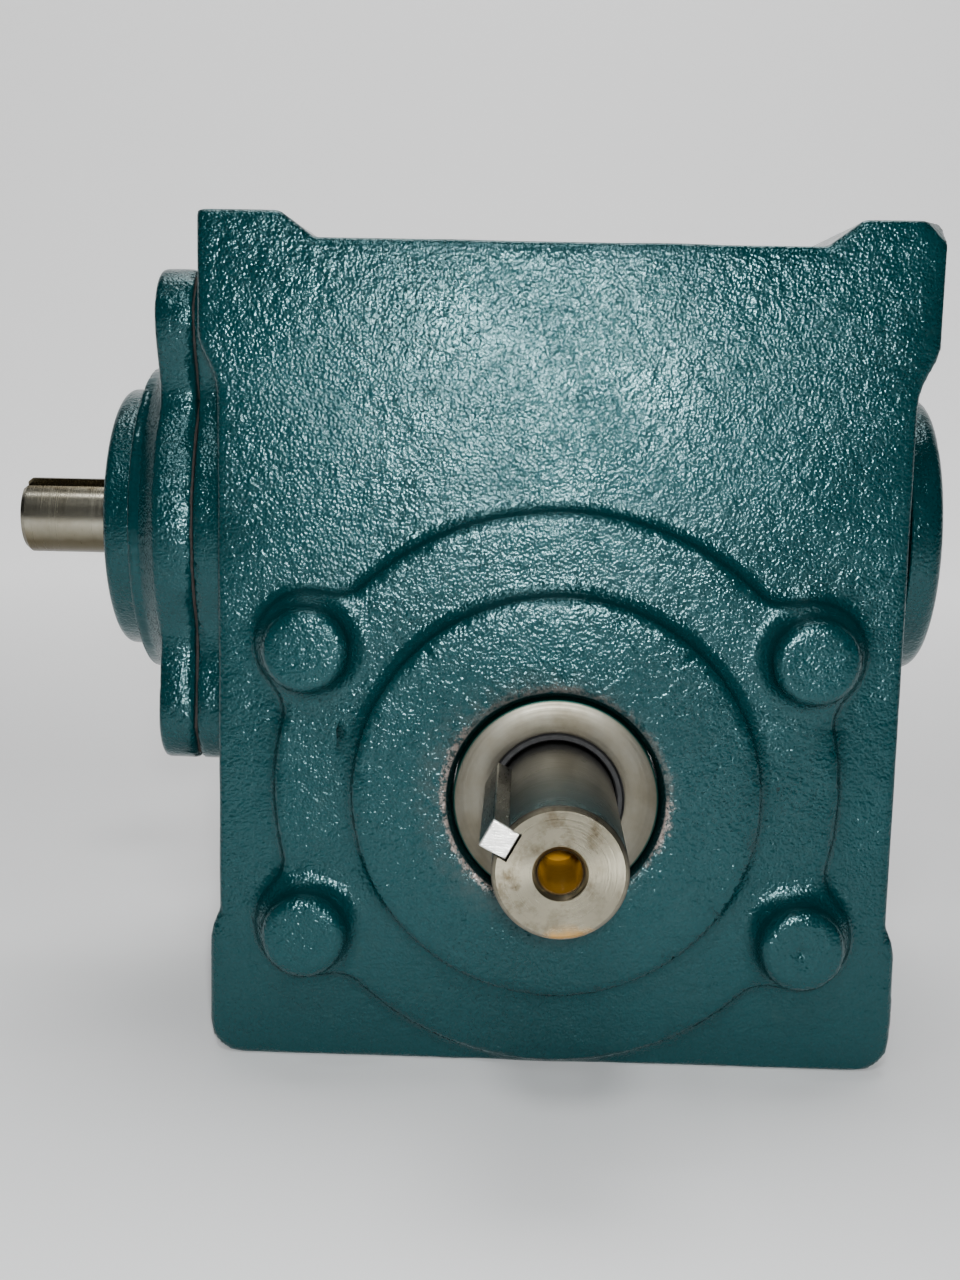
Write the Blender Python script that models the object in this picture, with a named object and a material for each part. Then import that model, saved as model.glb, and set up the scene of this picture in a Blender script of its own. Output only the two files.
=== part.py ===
"""Single-stage worm gearbox, right-angle, 30:1, with a solid keyed output shaft.

Row frame, in millimetres here and metres in the scene: origin at the middle of the
flat base, +X along the worm axis away from the input shaft, -Y towards the output
shaft end, +Z up.
"""

import math

import bmesh
import bpy
from mathutils import Matrix, Vector

MM = 0.001

# --- gear set -------------------------------------------------------------
CENTRE = 60.325        # worm axis above output axis
MODULE = 2.8           # axial module of the worm
TEETH = 30             # wheel teeth, with a single-start right-hand worm
PITCH = math.pi * MODULE
WHEEL_R = MODULE * TEETH / 2
WORM_R = CENTRE - WHEEL_R
WORM_TIP = WORM_R + MODULE
WORM_ROOT = WORM_R - 1.16 * MODULE
PRESSURE = math.tan(math.radians(20))
THIN = 0.22            # taken off each flank of the worm thread
WIDE = 0.22            # added to each side of a wheel tooth space
WHEEL_HALF = 12.0      # half face width of the wheel
WHEEL_OUT = 47.2       # outside radius of the throated rim
WORM_COLUMNS = 18
WORM_TURNS = 6

# --- housing --------------------------------------------------------------
OUT_Z = 71.1           # output axis above the base
WORM_Z = OUT_Z + CENTRE
HALF_W = 83.5          # half width of the body
DEPTH = 60.0           # half depth, so the front face is Y = -60
TOP_Z = 203.4
LUG_TOP = 209.5
LUG_X = 88.0
FOOT_X = 86.0
CAVITY_X, CAVITY_Y0, CAVITY_Y1, CAVITY_Z0, CAVITY_Z1 = 74.0, -50.0, 48.0, 10.0, 193.0
RING_R, RING_Y = 69.1, -64.0
DISC_R, DISC_Y = 49.3, -70.6
BOSS_X, BOSS_Z, BOSS_R, BOSS_Y, EAR_R = 60.8, 35.4, 10.4, -73.5, 12.8
REAR_BORE = 62.0
FOOT_HOLE_X, FOOT_HOLE_Y, FOOT_HOLE_R, FOOT_HOLE_DEPTH = 72.0, 44.0, 4.4, 17.0

# --- output shaft ---------------------------------------------------------
SHAFT_R = 14.2875
SHAFT_END = -129.6
KEY = 6.35
KEY_ANGLE = 151.9      # degrees from +X towards +Z
SEAL_R = 24.8
CUP_OUT = 30.8
OUT_BEARING_Y = 57.3   # outer end of each output bearing, either side

# --- worm shaft -----------------------------------------------------------
INPUT_R = 10.32
INPUT_END = -147.5
JOURNAL_R = 12.4
INPUT_KEY = 4.8
INPUT_KEY_ANGLE = 68.0  # degrees from -Y towards +Z
LEFT_BEARING_X = -103.5
RIGHT_BEARING_X = 70.0
BEARING_W = 15.0
FLANGE_R, FLANGE_EAR_Y, FLANGE_EAR_Z, FLANGE_EAR_R = 46.5, 30.0, 51.0, 12.0
FLANGE_LIFT = 2.4      # the bolt pattern sits this much above the worm axis
HUB_R = 35.2
CAP_R = 36.5
CAP_END = 96.9

# --------------------------------------------------------------------------
for old in list(bpy.data.objects):
    bpy.data.objects.remove(old)

part = bpy.data.collections.new("worm_gearbox")
cutters = bpy.data.collections.new("cutters")
cutters.hide_render = True
bpy.context.scene.collection.children.link(part)
bpy.context.scene.collection.children.link(cutters)


def material(name, colour, metallic, roughness):
    made = bpy.data.materials.new(name)
    made.use_nodes = True
    shader = made.node_tree.nodes["Principled BSDF"]
    shader.inputs["Base Color"].default_value = (*colour, 1)
    shader.inputs["Metallic"].default_value = metallic
    shader.inputs["Roughness"].default_value = roughness
    return made


MATERIALS = {
    "enamel": material("enamelled_cast_iron", (0.012, 0.085, 0.095), 0.0, 0.3),
    "steel": material("turned_steel", (0.42, 0.40, 0.37), 1.0, 0.3),
    "bearing": material("bearing_steel", (0.6, 0.6, 0.6), 1.0, 0.2),
    "bronze": material("gear_bronze", (0.62, 0.38, 0.16), 1.0, 0.3),
    "iron": material("bare_cast_iron", (0.14, 0.14, 0.145), 0.8, 0.55),
    "rubber": material("nitrile_rubber", (0.012, 0.012, 0.013), 0.0, 0.55),
    "gasket": material("gasket_paper", (0.30, 0.13, 0.07), 0.0, 0.85),
    "zinc": material("zinc_plated_steel", (0.55, 0.55, 0.5), 1.0, 0.35),
    "cage": material("cage_steel", (0.5, 0.5, 0.48), 1.0, 0.4),
}


def finish(name, mesh, where, slot, smooth=True, helper=False):
    mesh.name = name
    obj = bpy.data.objects.new(name, mesh)
    obj.location = Vector(where) * MM
    if helper:
        cutters.objects.link(obj)
        obj.hide_render = True
        obj.display_type = "WIRE"
    else:
        part.objects.link(obj)
        obj.data.materials.append(MATERIALS[slot])
        if smooth:
            obj.data.shade_smooth()
            obj.data.set_sharp_from_angle(angle=math.radians(35))
    return obj


def to_mesh(bm):
    bmesh.ops.recalc_face_normals(bm, faces=bm.faces)
    bmesh.ops.scale(bm, vec=(MM, MM, MM), verts=bm.verts)
    mesh = bpy.data.meshes.new("shape")
    bm.to_mesh(mesh)
    bm.free()
    return mesh


AXES = {
    "X": (Vector((1, 0, 0)), lambda r, h: (h, r, 0)),
    "Y": (Vector((0, 1, 0)), lambda r, h: (r, h, 0)),
    "Z": (Vector((0, 0, 1)), lambda r, h: (r, 0, h)),
}


def spun(profile, axis, steps, centre=(0, 0, 0)):
    """A bmesh made by spinning (radius, height) points about an axis. A point with radius 0 closes on the axis."""
    direction, place = AXES[axis]
    bm = bmesh.new()
    points = [bm.verts.new(place(r, h)) for r, h in profile]
    closed = all(r > 0 for r, _ in profile)
    edges = [bm.edges.new(pair) for pair in zip(points, points[1:])]
    if closed:
        edges.append(bm.edges.new((points[-1], points[0])))
    bmesh.ops.spin(
        bm,
        geom=points + edges,
        axis=direction,
        cent=(0, 0, 0),
        steps=steps,
        angle=2 * math.pi,
        use_merge=False,
        use_duplicate=False,
    )
    bmesh.ops.remove_doubles(bm, verts=bm.verts, dist=2e-3)
    bmesh.ops.translate(bm, vec=centre, verts=bm.verts)
    return bm


def lathe(name, profile, axis, where, slot="steel", steps=24, helper=False):
    return finish(name, to_mesh(spun(profile, axis, steps)), where, slot, helper=helper)


def disc(r, h0, h1, chamfer=0.0):
    """Profile of a solid cylinder, with an optional chamfer at h0 and h1."""
    c = chamfer
    if c:
        s = 1 if h1 > h0 else -1
        return [(0, h0), (r - c, h0), (r, h0 + s * c), (r, h1 - s * c), (r - c, h1), (0, h1)]
    return [(0, h0), (r, h0), (r, h1), (0, h1)]


def ring(r0, r1, h0, h1):
    return [(r0, h0), (r1, h0), (r1, h1), (r0, h1)]


def extruded(outline, axis, low, high):
    """A bmesh from a flat outline, run from low to high along the axis."""
    place = {
        "X": lambda a, b: (low, a, b),
        "Y": lambda a, b: (a, low, b),
        "Z": lambda a, b: (a, b, low),
    }[axis]
    bm = bmesh.new()
    face = bm.faces.new([bm.verts.new(place(a, b)) for a, b in outline])
    made = bmesh.ops.extrude_face_region(bm, geom=[face])
    moved = [v for v in made["geom"] if isinstance(v, bmesh.types.BMVert)]
    bmesh.ops.translate(bm, vec=AXES[axis][0] * (high - low), verts=moved)
    return bm


def prism(name, outline, axis, low, high, where=(0, 0, 0), slot="steel", helper=False, smooth=False):
    return finish(name, to_mesh(extruded(outline, axis, low, high)), where, slot, smooth, helper)


def joined(*shapes):
    """One mesh from several bmeshes that stay apart from one another."""
    whole = bmesh.new()
    for bm in shapes:
        bmesh.ops.recalc_face_normals(bm, faces=bm.faces)
        kept = bpy.data.meshes.new("piece")
        bm.to_mesh(kept)
        bm.free()
        whole.from_mesh(kept)
        bpy.data.meshes.remove(kept)
    return whole


def helper_of(name, bm, where=(0, 0, 0)):
    return finish(name, to_mesh(bm), where, None, helper=True)


def boolean(target, tool, kind):
    modifier = target.modifiers.new(f"{kind.lower()}_{tool.name}", "BOOLEAN")
    modifier.operation = kind
    modifier.solver = "EXACT"
    modifier.object = tool
    return target


def hexagon(across, turn=0.0):
    r = across / math.sqrt(3)
    return [
        (r * math.cos(math.radians(60 * k + turn)), r * math.sin(math.radians(60 * k + turn)))
        for k in range(6)
    ]


def key_box(width, low, high, along0, along1, axis, degrees_turned):
    """A key or keyway: a box from radius low to high, turned about the axis."""
    outline = [(low, -width / 2), (high, -width / 2), (high, width / 2), (low, width / 2)]
    bm = extruded(outline, axis, along0, along1)
    if axis == "Y":
        turn = Matrix.Rotation(math.radians(-degrees_turned), 4, "Y")
    else:
        turn = Matrix.Rotation(math.radians(degrees_turned), 4, "X")
    bmesh.ops.transform(bm, matrix=turn, verts=bm.verts)
    return bm


OUT = (0, 0, OUT_Z)
WORM = (0, 0, WORM_Z)
SPOTS = [(sx * BOSS_X, sz * BOSS_Z) for sx in (-1, 1) for sz in (-1, 1)]
FLANGE_SPOTS = [(sy * FLANGE_EAR_Y, sz * FLANGE_EAR_Z + FLANGE_LIFT) for sy in (-1, 1) for sz in (-1, 1)]

# --- housing --------------------------------------------------------------
right = [
    (77.5, 0), (80.8, 0.7), (83.6, 2.4), (85.4, 5.2), (FOOT_X, 8.5), (FOOT_X, 30.5),
    (85.2, 34.0), (HALF_W, 38.0), (HALF_W, 166.0), (84.1, 170.5), (85.6, 174.0),
    (LUG_X - 0.6, 177.6), (LUG_X, 180.0), (LUG_X, LUG_TOP - 1.8), (LUG_X - 1.8, LUG_TOP),
    (68.6, LUG_TOP), (60.4, TOP_Z),
]
outline = right + [(-x, z) for x, z in reversed(right)]
housing = prism("housing", outline, "Y", -DEPTH, DEPTH, slot="enamel", smooth=True)

# The raised ring with its ears, the inner disc and the four bosses of the output face.
raised = [
    ("front_ring", spun([(0, -52), (RING_R + 1.6, -52), (RING_R + 1.6, -60.9), (RING_R, -63.0),
                         (RING_R - 0.9, RING_Y), (0, RING_Y)], "Y", 32)),
    ("front_disc", spun([(0, -51.3), (DISC_R + 2.0, -51.3), (DISC_R + 2.0, -64.9), (DISC_R, -68.4),
                         (DISC_R, DISC_Y), (0, DISC_Y)], "Y", 30)),
]
for name, shape in raised:
    boolean(housing, helper_of(name, shape, OUT), "UNION")
ears, bosses = [], []
for x, z in SPOTS:
    ears.append(spun([(0, -52.7), (EAR_R + 1.4, -52.7), (EAR_R + 1.4, -61.3),
                      (EAR_R - 0.4, RING_Y + 0.05), (0, RING_Y + 0.05)], "Y", 12, (x, 0, z)))
    bosses.append(spun([(0, -53.4), (BOSS_R + 1.2, -53.4), (BOSS_R + 1.2, -66.2), (BOSS_R, -68.6),
                        (BOSS_R, -71.4), (BOSS_R - 2.0, BOSS_Y), (0, BOSS_Y)], "Y", 12, (x, 0, z)))
boolean(housing, helper_of("front_ears", joined(*ears), OUT), "UNION")
boolean(housing, helper_of("front_bosses", joined(*bosses), OUT), "UNION")


def flange_outline(radius, ear_radius, steps=5):
    """Round flange with four ears, joined by straight flanks."""
    points = []
    for y, z in FLANGE_SPOTS:
        far = math.atan2(z, y)
        for k in range(steps):
            a = far + math.radians(-95 + 190 * k / (steps - 1))
            points.append((y + ear_radius * math.cos(a), z + ear_radius * math.sin(a)))
    for k in range(32):
        a = 2 * math.pi * k / 32
        p = (radius * math.cos(a), radius * math.sin(a))
        if all(math.hypot(p[0] - y, p[1] - z) > ear_radius + 6.5 for y, z in FLANGE_SPOTS):
            points.append(p)
    points.sort(key=lambda p: math.atan2(p[1], p[0]))
    return points


# Left pad of the input side, the round boss of the right bearing.
boolean(housing, helper_of("left_pad", extruded(flange_outline(FLANGE_R, FLANGE_EAR_R), "X", -92.2, -75.2), WORM), "UNION")
boolean(housing, helper_of("right_boss", spun([(0, 75.1), (CAP_R, 75.1), (CAP_R, 89.0), (0, 89.0)], "X", 24), WORM), "UNION")

# Gear chamber, with solid corners that take the foot holes.
cx, c = CAVITY_X, 22.0
chamber = [
    (-cx + c, CAVITY_Y0), (cx - c, CAVITY_Y0), (cx, CAVITY_Y0 + c), (cx, CAVITY_Y1 - c),
    (cx - c, CAVITY_Y1), (-cx + c, CAVITY_Y1), (-cx, CAVITY_Y1 - c), (-cx, CAVITY_Y0 + c),
]
boolean(housing, helper_of("chamber", extruded(chamber, "Z", CAVITY_Z0, CAVITY_Z1)), "DIFFERENCE")
boolean(housing, helper_of("bearing_boss_front", spun(disc(42.0, -51.0, -41.0), "Y", 24), OUT), "UNION")
boolean(housing, helper_of("bearing_boss_right", spun(disc(33.0, 57.4, 76.2), "X", 20), WORM), "UNION")

# Bores: rear way in, front bearing and seal seats, left register, right bearing seat.
bores = [
    ("rear_bore", spun(disc(REAR_BORE, 44.0, 62.0), "Y", 32), OUT),
    ("front_bearing_bore", spun(disc(31.1, -57.6, -38.0), "Y", 28), OUT),
    ("seal_bore", spun([(0, -56.5), (25.1, -56.5), (25.1, -68.9), (27.8, -71.6), (0, -71.6)], "Y", 32), OUT),
    ("left_bore", spun(disc(35.0, -94.0, -72.0), "X", 24), WORM),
    ("right_bearing_bore", spun([(0, 54.1), (20.6, 54.1), (20.6, 69.6), (26.2, 69.6), (26.2, 90.0), (0, 90.0)], "X", 24), WORM),
]
for name, shape, where in bores:
    boolean(housing, helper_of(name, shape, where), "DIFFERENCE")
holes = []
for x, z in SPOTS:
    holes.append(spun([(0, 49.8), (4.2, 50.9), (4.2, 61.0), (0, 61.0)], "Y", 8, (x, 0, z + OUT_Z)))
for y, z in FLANGE_SPOTS:
    holes.append(spun([(0, -94.0), (4.2, -94.0), (4.2, -79.2), (0, -78.0)], "X", 8, (0, y, z + WORM_Z)))
for k in range(4):
    a = math.radians(45 + 90 * k)
    holes.append(spun([(0, 76.6), (2.6, 77.6), (2.6, 90.0), (0, 90.0)], "X", 8,
                      (0, 31.1 * math.cos(a), WORM_Z + 31.1 * math.sin(a))))
for sx in (-1, 1):
    for sy in (-1, 1):
        holes.append(spun([(0, -1), (FOOT_HOLE_R, -1), (FOOT_HOLE_R, FOOT_HOLE_DEPTH), (0, FOOT_HOLE_DEPTH + 2.4)], "Z", 12,
                          (sx * FOOT_HOLE_X, sy * FOOT_HOLE_Y, 0)))
PLUGS = [
    ("fill_plug", "Z", (0, 0, TOP_Z), 1, 9.0),
    ("level_plug", "X", (HALF_W, 8.0, 66.0), 1, 9.0),
    ("drain_plug", "X", (HALF_W, 0.0, 22.0), 1, 9.0),
]
for name, axis, (x, y, z), sign, r in PLUGS:
    centre = (x, y, z)
    holes.append(spun(disc(r + 0.3, -14.0, 2.0), axis, 12, centre))
boolean(housing, helper_of("drilled_holes", joined(*holes)), "DIFFERENCE")

# --- plugs: hex-socket pipe plugs, flush with the casting -----------------
for name, axis, centre, sign, r in PLUGS:
    plug = lathe(name, [(0, -9.0), (r, -9.0), (r, 0.6), (r - 0.7, 1.2), (0, 1.2)], axis, centre, "zinc", 12)
    boolean(plug, helper_of(name + "_socket", extruded(hexagon(8.0), axis, -5.0, 2.0), centre), "DIFFERENCE")

# --- rear cover, shim and bolts -------------------------------------------
rear = lathe("rear_cover", [(0, 57.6), (31.1, 57.6), (31.1, 41.5), (42.0, 41.5), (42.0, 49.0), (61.7, 49.0),
                            (61.7, 61.0), (RING_R, 61.0), (RING_R, 68.6), (RING_R - 1.4, 70.0), (38.0, 70.0),
                            (35.0, 74.0), (0, 74.0)], "Y", OUT, "enamel", 32)
rear_ears, rear_cuts = [], []
for x, z in SPOTS:
    rear_ears.append(spun(disc(EAR_R, 61.0 + 0.02, 69.9), "Y", 12, (x, 0, z)))
    rear_cuts.append(spun(disc(4.3, 58.0, 72.0), "Y", 8, (x, 0, z)))
boolean(rear, helper_of("rear_ears", joined(*rear_ears), OUT), "UNION")
boolean(rear, helper_of("rear_cover_holes", joined(*rear_cuts), OUT), "DIFFERENCE")
lathe("rear_shim", ring(62.3, 66.0, 60.3, 60.7), "Y", OUT, "gasket", 32)
for k, (x, z) in enumerate(SPOTS, 1):
    bolt = lathe(f"rear_bolt_{k}", [(0, 51.2), (3.8, 52.0), (3.8, 71.0), (0, 71.0)], "Y", (x, 0, OUT_Z + z), "zinc", 8)
    boolean(bolt, helper_of(f"rear_bolt_head_{k}", extruded(hexagon(13.0), "Y", 70.3, 75.6), (x, 0, OUT_Z + z)), "UNION")

# --- input carrier, its gasket, screws, cover and seal --------------------
carrier = prism("input_carrier", flange_outline(FLANGE_R, FLANGE_EAR_R), "X", -103.0, -93.4, WORM, "enamel", smooth=True)
boolean(carrier, helper_of("carrier_shoulder", spun([(0, -98.0), (43.5, -98.0), (41.5, -104.4), (41.5, -109.8),
                                                      (41.0, -110.3), (0, -110.3)], "X", 32), WORM), "UNION")
boolean(carrier, helper_of("carrier_register", spun(disc(34.7, -94.4, -76.0), "X", 24), WORM), "UNION")
boolean(carrier, helper_of("carrier_bore", spun([(0, -112.0), (26.2, -112.0), (26.2, -88.2), (21.8, -88.2), (21.8, -74.0), (0, -74.0)],
                                               "X", 24), WORM), "DIFFERENCE")
carrier_cuts, gasket_cuts = [], []
for y, z in FLANGE_SPOTS:
    carrier_cuts.append(spun([(0, -106.0), (7.0, -106.0), (7.0, -96.6), (4.3, -96.6), (4.3, -91.0), (0, -91.0)], "X", 10, (0, y, z)))
    gasket_cuts.append(spun(disc(4.3, -94.5, -91.5), "X", 8, (0, y, z)))
boolean(carrier, helper_of("carrier_holes", joined(*carrier_cuts), WORM), "DIFFERENCE")
gasket = prism("input_gasket", flange_outline(FLANGE_R - 0.3, FLANGE_EAR_R - 0.3), "X", -93.1, -92.5, WORM, "gasket")
boolean(gasket, helper_of("gasket_bore", spun(disc(35.2, -94.5, -91.5), "X", 24), WORM), "DIFFERENCE")
boolean(gasket, helper_of("gasket_holes", joined(*gasket_cuts), WORM), "DIFFERENCE")
for k, (y, z) in enumerate(FLANGE_SPOTS, 1):
    screw = lathe(f"input_screw_{k}", [(0, -102.9), (6.4, -102.9), (6.4, -96.9), (3.8, -96.9), (3.8, -79.6), (0, -79.6)],
                  "X", (0, y, WORM_Z + z), "zinc", 10)
    boolean(screw, helper_of(f"input_screw_socket_{k}", extruded(hexagon(6.0), "X", -104.5, -99.4), (0, y, WORM_Z + z)), "DIFFERENCE")
lathe("input_cover", [(11.5, -117.8), (HUB_R - 2.2, -117.8), (HUB_R - 0.7, -117.1), (HUB_R, -115.5), (HUB_R, -110.6), (25.9, -110.6),
                      (25.9, -104.4), (17.3, -104.4), (17.3, -115.1), (11.5, -115.1)], "X", WORM, "enamel", 28)
lathe("input_seal", [(10.75, -114.2), (12.0, -114.6), (17.0, -114.6), (17.0, -107.7), (15.8, -107.7), (15.8, -112.9), (12.3, -112.9), (11.2, -110.9)],
      "X", WORM, "rubber", 24)

# --- end cap on the right, with its screws --------------------------------
cap = lathe("end_cap", [(0, 87.5), (25.9, 87.5), (25.9, 89.3), (CAP_R, 89.3), (CAP_R, 93.3), (CAP_R - 1.0, 95.6), (CAP_R - 3.4, CAP_END), (0, CAP_END)],
            "X", WORM, "enamel", 28)
cap_cuts = []
for k in range(4):
    a = math.radians(45 + 90 * k)
    spot = (0, 31.1 * math.cos(a), 31.1 * math.sin(a))
    cap_cuts.append(spun([(0, 87.0), (2.7, 87.0), (2.7, 91.9), (4.3, 91.9), (4.3, 98.0), (0, 98.0)], "X", 8, spot))
    screw = lathe(f"cap_screw_{k + 1}", [(0, 78.6), (2.2, 79.1), (2.2, 92.2), (4.0, 92.2), (4.0, 95.3), (0, 95.3)],
                  "X", (0, spot[1], WORM_Z + spot[2]), "zinc", 8)
boolean(cap, helper_of("cap_holes", joined(*cap_cuts), WORM), "DIFFERENCE")
lathe("bore_snap_ring", ring(22.5, 25.9, 85.5, 87.0), "X", WORM, "steel", 24)


# --- worm shaft -----------------------------------------------------------
def worm_shaft_mesh():
    """Stepped shaft and single-start thread, as columns of points about X that follow the helix."""
    half = lambda r: PITCH / 4 - (r - WORM_R) * PRESSURE - THIN
    before = [(0.0, INPUT_END), (INPUT_R - 1.3, INPUT_END), (INPUT_R, INPUT_END + 1.5), (INPUT_R, -106.9), (JOURNAL_R, -106.3),
              (JOURNAL_R, -88.3), (WORM_ROOT, -88.3)]
    after = [(WORM_ROOT, 69.7), (JOURNAL_R, 69.7), (JOURNAL_R, 85.6), (JOURNAL_R - 0.9, 86.5), (0.0, 86.5)]
    bm = bmesh.new()
    poles = [bm.verts.new((x, 0, 0)) for r, x in (before[0], after[-1])]
    start = -PITCH * (WORM_TURNS + 1) / 2 - PITCH / 2
    start = round(start / PITCH) * PITCH
    columns = []
    for k in range(WORM_COLUMNS):
        share = k / WORM_COLUMNS
        a = 2 * math.pi * share
        # The angle runs from straight down towards +Y, a right-hand turn about +X.
        place = lambda r, x: (x, r * math.sin(a), -r * math.cos(a))
        column = {"before": [bm.verts.new(place(r, x)) for r, x in before[1:]], "threads": [],
                  "after": [bm.verts.new(place(r, x)) for r, x in after[:-1]]}
        for n in range(WORM_TURNS + 2):
            turn = n + share
            fade = max(0.0, min(1.0, (turn - 0.999) / 0.25, (WORM_TURNS + 1.001 - turn) / 0.25))
            tip = WORM_ROOT + (WORM_TIP - WORM_ROOT) * fade
            x = start + PITCH * turn
            low = half(WORM_ROOT)
            high = half(WORM_TIP) * fade + low * 0.97 * (1 - fade)
            column["threads"].append([bm.verts.new(place(r, x + dx)) for r, dx in
                                      ((WORM_ROOT, -low), (tip, -high), (tip, high), (WORM_ROOT, low))])
        columns.append(column)
    for k, here in enumerate(columns):
        there = columns[(k + 1) % WORM_COLUMNS]
        wrap = int(k == WORM_COLUMNS - 1)
        for i in range(len(before) - 2):
            bm.faces.new((here["before"][i], here["before"][i + 1], there["before"][i + 1], there["before"][i]))
        for i in range(len(after) - 2):
            bm.faces.new((here["after"][i], here["after"][i + 1], there["after"][i + 1], there["after"][i]))
        bm.faces.new((poles[0], here["before"][0], there["before"][0]))
        bm.faces.new((poles[1], there["after"][-1], here["after"][-1]))
        mine = [v for thread in here["threads"] for v in thread]
        next_ones = [v for thread in there["threads"] for v in thread]
        if not wrap:
            for i in range(len(mine) - 1):
                bm.faces.new((mine[i], mine[i + 1], next_ones[i + 1], next_ones[i]))
            bm.faces.new((here["before"][-1], mine[0], next_ones[0], there["before"][-1]))
            bm.faces.new((mine[-1], here["after"][0], there["after"][0], next_ones[-1]))
        else:
            shifted = next_ones[4:]
            for i in range(len(shifted) - 1):
                bm.faces.new((mine[i], mine[i + 1], shifted[i + 1], shifted[i]))
            bm.faces.new([here["before"][-1], mine[0], shifted[0]] + next_ones[3::-1] + [there["before"][-1]])
            bm.faces.new([shifted[-1]] + mine[-5:] + [here["after"][0], there["after"][0]])
    return bm


worm = finish("worm_shaft", to_mesh(worm_shaft_mesh()), WORM, "steel")
boolean(worm, helper_of("input_keyway", key_box(INPUT_KEY, INPUT_R - 2.6, INPUT_R + 3, INPUT_END - 2, -123.0, "X", 180 - INPUT_KEY_ANGLE), WORM), "DIFFERENCE")
lathe("worm_snap_ring", ring(12.7, 15.2, -105.9, -104.4), "X", WORM, "steel", 24)


# --- worm bearings --------------------------------------------------------
def groove(pitch_r, ball_r, sign):
    """Arc of a ball groove, from one shoulder to the other, as (radius, offset)."""
    return [(pitch_r + sign * ball_r * math.cos(math.radians(a)), ball_r * math.sin(math.radians(a))) for a in (-38, 0, 38)]


def ball_bearing(tag, x0):
    middle = x0 + BEARING_W / 2
    outer = [(22.3, x0), (25.8, x0), (25.8, x0 + BEARING_W), (22.3, x0 + BEARING_W)] + [(r, middle - o) for r, o in groove(19.35, 4.0, 1)]
    inner = [(12.7, x0), (12.7, x0 + BEARING_W), (16.3, x0 + BEARING_W)] + [(r, middle - o) for r, o in groove(19.35, 4.0, -1)] + [(16.3, x0)]
    lathe(f"worm_bearing_outer_{tag}", outer, "X", WORM, "bearing", 24)
    lathe(f"worm_bearing_inner_{tag}", inner, "X", WORM, "bearing", 24)
    cage = lathe(f"worm_bearing_balls_{tag}", ring(18.7, 20.0, middle - 2.6, middle + 2.6), "X", WORM, "cage", 21)
    balls = []
    for k in range(7):
        a = 2 * math.pi * (k + 0.5) / 7
        bm = bmesh.new()
        bmesh.ops.create_uvsphere(bm, u_segments=6, v_segments=4, radius=3.6)
        bmesh.ops.translate(bm, vec=(middle, 19.35 * math.cos(a), 19.35 * math.sin(a)), verts=bm.verts)
        balls.append(bm)
    boolean(cage, helper_of(f"balls_{tag}", joined(*balls), WORM), "UNION")


ball_bearing("left", LEFT_BEARING_X)
ball_bearing("right", RIGHT_BEARING_X)


# --- worm wheel -----------------------------------------------------------
def wheel_rim_mesh(slices=7, flank=2):
    """Throated wheel rim: each slice has the tooth space that the worm thread sweeps out as the pair turns."""
    clear = 0.5
    bm = bmesh.new()
    rows = []
    for s in range(slices):
        y = -WHEEL_HALF + 2 * WHEEL_HALF * s / (slices - 1)
        tip = min(WHEEL_OUT, CENTRE - math.sqrt((WORM_ROOT + clear) ** 2 - y * y))
        root = CENTRE - math.sqrt((WORM_TIP + clear) ** 2 - y * y)

        def space(rho):
            """Angles between which the moving thread passes at this radius."""
            lows, highs = [], []
            for i in range(-260, 261):
                turn = i * 0.0015
                r = math.hypot(CENTRE - rho * math.cos(turn), y)
                if r > WORM_TIP + clear + 0.15:
                    continue
                half = PITCH / 4 - (min(r, WORM_TIP) - WORM_R) * PRESSURE + WIDE
                base = rho * math.sin(turn) - PITCH * math.asin(y / r) / (2 * math.pi)
                lows.append(turn - (base + half) / WHEEL_R)
                highs.append(turn - (base - half) / WHEEL_R)
            return min(lows), max(highs)

        heights = [root + (tip - root) * f for f in ((0.04,) + tuple((k + 1) / flank for k in range(flank)))]
        spaces = [space(h) for h in heights]
        row = []
        for t in range(TEETH):
            a = 2 * math.pi * t / TEETH
            left = [(h, a + low) for h, (low, _) in zip(heights, spaces)]
            right_side = [(h, a + high) for h, (_, high) in zip(heights, spaces)]
            for h, angle in reversed(left):
                row.append(bm.verts.new((h * math.sin(angle), y, h * math.cos(angle))))
            for h, angle in right_side:
                row.append(bm.verts.new((h * math.sin(angle), y, h * math.cos(angle))))
        rows.append(row)
    count = len(rows[0])
    for here, there in zip(rows, rows[1:]):
        for i in range(count):
            j = (i + 1) % count
            bm.faces.new((here[i], here[j], there[j], there[i]))
    bore = []
    for y in (-WHEEL_HALF, WHEEL_HALF):
        bore.append([bm.verts.new((32.3 * math.sin(2 * math.pi * k / TEETH), y, 32.3 * math.cos(2 * math.pi * k / TEETH))) for k in range(TEETH)])
    for k in range(TEETH):
        bm.faces.new((bore[0][k], bore[1][k], bore[1][(k + 1) % TEETH], bore[0][(k + 1) % TEETH]))
    per = count // TEETH
    for edge, row in ((0, rows[0]), (1, rows[-1])):
        ring_verts = bore[edge]
        for t in range(TEETH):
            span = [row[(t * per + i) % count] for i in range(per + 1)]
            face = span + [ring_verts[(t + 1) % TEETH], ring_verts[t]]
            bm.faces.new(face)
    bmesh.ops.triangulate(bm, faces=[f for f in bm.faces if len(f.verts) > 4])
    return bm


rim = finish("wheel_rim", to_mesh(wheel_rim_mesh()), OUT, "bronze", smooth=False)
hub = lathe("wheel_hub", [(17.3, -16.7), (24.5, -16.7), (24.5, -6.0), (28.5, -6.0), (28.5, -11.7), (31.7, -11.7),
                          (31.7, 11.7), (28.5, 11.7), (28.5, 6.0), (24.5, 6.0), (24.5, 17.2), (17.3, 17.2)], "Y", OUT, "iron", 24)
boolean(hub, helper_of("hub_keyway", key_box(8.5, 15.0, 20.9, -18.0, 18.0, "Y", 90), OUT), "DIFFERENCE")

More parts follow.
